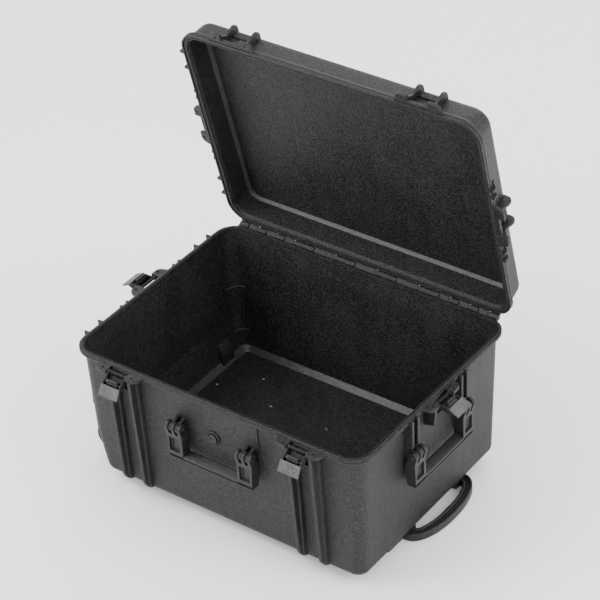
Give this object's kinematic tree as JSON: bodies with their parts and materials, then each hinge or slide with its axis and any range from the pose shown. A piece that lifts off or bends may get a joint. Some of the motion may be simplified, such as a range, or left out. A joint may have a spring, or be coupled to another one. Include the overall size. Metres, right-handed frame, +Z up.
{
  "type": "rolling hard equipment case",
  "caption": "Rolling hard plastic equipment case with a hinged lid, fold-over latches, folding carrying handles, corner wheels and a pull-out trolley handle.",
  "frame": {"origin": "on the ground under the middle of the base's rim rectangle, at the underside of the trolley tray", "axes": "+X along the front from the wheeled left end to the grip at the right end, +Y from the front wall to the hinge, +Z up"},
  "size_m": [0.7622, 0.588, 0.7963],
  "materials": {
    "shell": "grained",
    "trim": "satin",
    "latch_grey": "satin",
    "steel": "satin",
    "aluminium": "anodised",
    "rubber": "matte"
  },
  "bodies": {
    "base": {"base_shell": "shell", "hinge_pin": "steel", "pressure_valve_body": "trim", "pressure_valve_cap": "trim", "trolley_tray": "trim", "trolley_outer_tube_front": "aluminium", "trolley_outer_tube_rear": "aluminium", "axle_front": "steel", "axle_rear": "steel", "floor_screw_1": "steel", "floor_screw_2": "steel", "floor_screw_3": "steel", "floor_screw_4": "steel", "floor_screw_5": "steel", "floor_screw_6": "steel", "floor_screw_7": "steel", "floor_screw_8": "steel", "floor_screw_9": "steel", "floor_screw_10": "steel", "latch_pin_front_left": "steel", "latch_pin_front_right": "steel", "latch_pin_right_end": "steel", "latch_pin_left_end": "steel", "handle_pin_front_a": "steel", "handle_pin_front_b": "steel", "handle_pin_right_end_a": "steel", "handle_pin_right_end_b": "steel", "handle_pin_left_end_a": "steel", "handle_pin_left_end_b": "steel"},
    "lid": {"lid_shell": "shell", "lid_gasket": "rubber"},
    "trolley": {"trolley_inner_tube_front": "aluminium", "trolley_inner_tube_rear": "aluminium", "trolley_grip": "trim"},
    "trolley_button": {"trolley_button": "latch_grey"},
    "wheel_front": {"tyre_front": "rubber", "wheel_hub_front": "trim"},
    "wheel_rear": {"tyre_rear": "rubber", "wheel_hub_rear": "trim"},
    "latch_front_left": {"latch_lever_front_left": "latch_grey"},
    "hook_front_left": {"latch_hook_front_left": "trim"},
    "latch_front_right": {"latch_lever_front_right": "latch_grey"},
    "hook_front_right": {"latch_hook_front_right": "trim"},
    "latch_right_end": {"latch_lever_right_end": "latch_grey"},
    "hook_right_end": {"latch_hook_right_end": "trim"},
    "latch_left_end": {"latch_lever_left_end": "latch_grey"},
    "hook_left_end": {"latch_hook_left_end": "trim"},
    "handle_front": {"handle_front": "trim"},
    "handle_right_end": {"handle_right_end": "trim"},
    "handle_left_end": {"handle_left_end": "trim"}
  },
  "joints": [
    {"name": "lid_hinge", "type": "hinge", "parent": "base", "child": "lid", "pos_m": [-0.004, 0.2484, 0.2999], "axis": [1, 0, 0], "range_deg": [-24, 76.3]},
    {"name": "latch_front_left_pivot", "type": "hinge", "parent": "base", "child": "latch_front_left", "pos_m": [-0.199, -0.251, 0.2965], "axis": [-1, 0, 0], "range_deg": [-6, 128]},
    {"name": "hook_front_left_pivot", "type": "hinge", "parent": "latch_front_left", "child": "hook_front_left", "pos_m": [-0.199, -0.26536, 0.28401], "axis": [-1, 0, 0], "range_deg": [-12, 12]},
    {"name": "latch_front_right_pivot", "type": "hinge", "parent": "base", "child": "latch_front_right", "pos_m": [0.199, -0.251, 0.2965], "axis": [-1, 0, 0], "range_deg": [-6, 128]},
    {"name": "hook_front_right_pivot", "type": "hinge", "parent": "latch_front_right", "child": "hook_front_right", "pos_m": [0.199, -0.26536, 0.28401], "axis": [-1, 0, 0], "range_deg": [-12, 12]},
    {"name": "latch_right_end_pivot", "type": "hinge", "parent": "base", "child": "latch_right_end", "pos_m": [0.33, 0, 0.2965], "axis": [0, -1, 0], "range_deg": [-37, 97]},
    {"name": "hook_right_end_pivot", "type": "hinge", "parent": "latch_right_end", "child": "hook_right_end", "pos_m": [0.34874, 0, 0.29319], "axis": [0, -1, 0], "range_deg": [-12, 12]},
    {"name": "latch_left_end_pivot", "type": "hinge", "parent": "base", "child": "latch_left_end", "pos_m": [-0.33, 0, 0.2965], "axis": [0, 1, 0], "range_deg": [-37, 97]},
    {"name": "hook_left_end_pivot", "type": "hinge", "parent": "latch_left_end", "child": "hook_left_end", "pos_m": [-0.34874, 0, 0.29319], "axis": [0, 1, 0], "range_deg": [-12, 12]},
    {"name": "handle_front_pivot", "type": "hinge", "parent": "base", "child": "handle_front", "pos_m": [0, -0.2475, 0.225], "axis": [-1, 0, 0], "range_deg": [0, 95]},
    {"name": "handle_right_end_pivot", "type": "hinge", "parent": "base", "child": "handle_right_end", "pos_m": [0.3265, 0, 0.225], "axis": [0, -1, 0], "range_deg": [0, 95]},
    {"name": "handle_left_end_pivot", "type": "hinge", "parent": "base", "child": "handle_left_end", "pos_m": [-0.3265, 0, 0.225], "axis": [0, 1, 0], "range_deg": [0, 95]},
    {"name": "trolley_slide", "type": "slide", "parent": "base", "child": "trolley", "axis": [1, 0, 0], "range_m": [0, 0.4]},
    {"name": "trolley_button_press", "type": "slide", "parent": "trolley", "child": "trolley_button", "axis": [1, 0, 0], "range_m": [0, 0.004], "stiffness_N_per_m": 300},
    {"name": "wheel_front_spin", "type": "hinge", "parent": "base", "child": "wheel_front", "pos_m": [-0.316, -0.156, 0.044], "axis": [0, 1, 0], "continuous": true},
    {"name": "wheel_rear_spin", "type": "hinge", "parent": "base", "child": "wheel_rear", "pos_m": [-0.316, 0.156, 0.044], "axis": [0, 1, 0], "continuous": true}
  ],
  "couplings": [
    {"joint": "hook_front_left_pivot", "follows": "latch_front_left_pivot", "ratio": 0.08},
    {"joint": "hook_front_right_pivot", "follows": "latch_front_right_pivot", "ratio": 0.08},
    {"joint": "hook_right_end_pivot", "follows": "latch_right_end_pivot", "ratio": 0.08},
    {"joint": "hook_left_end_pivot", "follows": "latch_left_end_pivot", "ratio": 0.08}
  ]
}
